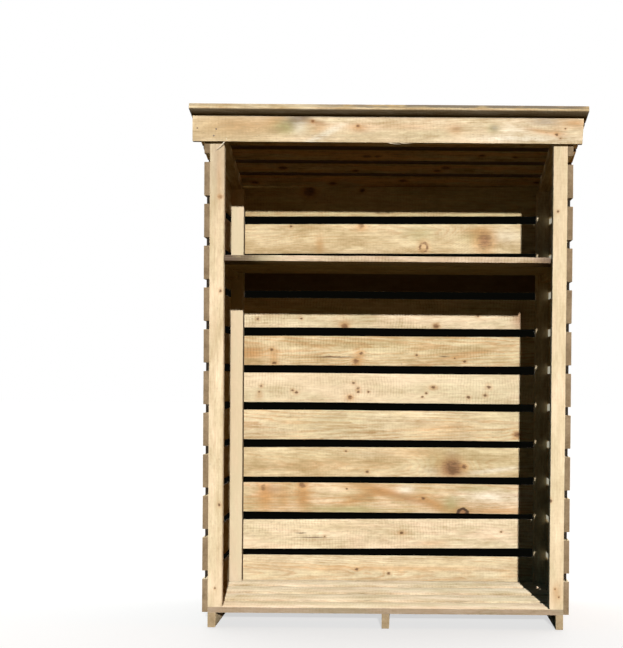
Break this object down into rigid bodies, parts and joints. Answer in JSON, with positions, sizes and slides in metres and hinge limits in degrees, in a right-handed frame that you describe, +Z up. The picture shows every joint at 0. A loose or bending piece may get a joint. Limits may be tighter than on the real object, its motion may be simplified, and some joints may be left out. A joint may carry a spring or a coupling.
{
  "type": "log store",
  "caption": "Tall open-fronted timber store for firewood, with slatted sides, back and floor, a slatted shelf and a pent roof that falls to the back.",
  "frame": {"origin": "on the ground, under the middle of the roof", "axes": "+Z up, the open front faces -Y, +X to the right of someone looking into the store"},
  "size_m": [1.324, 0.6616, 1.7504],
  "materials": {
    "bearer_wood": "rough sawn",
    "floor_wood": "rough sawn",
    "post_wood": "rough sawn",
    "back_wood": "rough sawn",
    "side_wood": "rough sawn",
    "shelf_wood": "rough sawn",
    "frame_wood": "rough sawn",
    "fascia_wood": "rough sawn",
    "roof_wood": "rough sawn"
  },
  "bodies": {
    "root": {"back_board_01": "back_wood", "back_board_02": "back_wood", "back_board_03": "back_wood", "back_board_04": "back_wood", "back_board_05": "back_wood", "back_board_06": "back_wood", "back_board_07": "back_wood", "back_board_08": "back_wood", "back_board_09": "back_wood", "back_board_10": "back_wood", "back_board_11": "back_wood", "back_post_left": "post_wood", "back_post_right": "post_wood", "fascia": "fascia_wood", "floor_board_1": "floor_wood", "floor_board_2": "floor_wood", "floor_board_3": "floor_wood", "floor_board_4": "floor_wood", "front_post_left": "post_wood", "front_post_right": "post_wood", "ground_bearer_1": "bearer_wood", "ground_bearer_2": "bearer_wood", "ground_bearer_3": "bearer_wood", "rafter_left": "frame_wood", "rafter_right": "frame_wood", "roof_board_1": "roof_wood", "roof_board_2": "roof_wood", "roof_board_3": "roof_wood", "roof_board_4": "roof_wood", "roof_board_5": "roof_wood", "roof_board_6": "roof_wood", "shelf_bearer_left": "frame_wood", "shelf_bearer_right": "frame_wood", "shelf_board_1": "shelf_wood", "shelf_board_2": "shelf_wood", "shelf_board_3": "shelf_wood", "side_slats_left": "side_wood", "side_slats_right": "side_wood", "tapered_slat_left": "side_wood", "tapered_slat_right": "side_wood"}
  },
  "joints": []
}
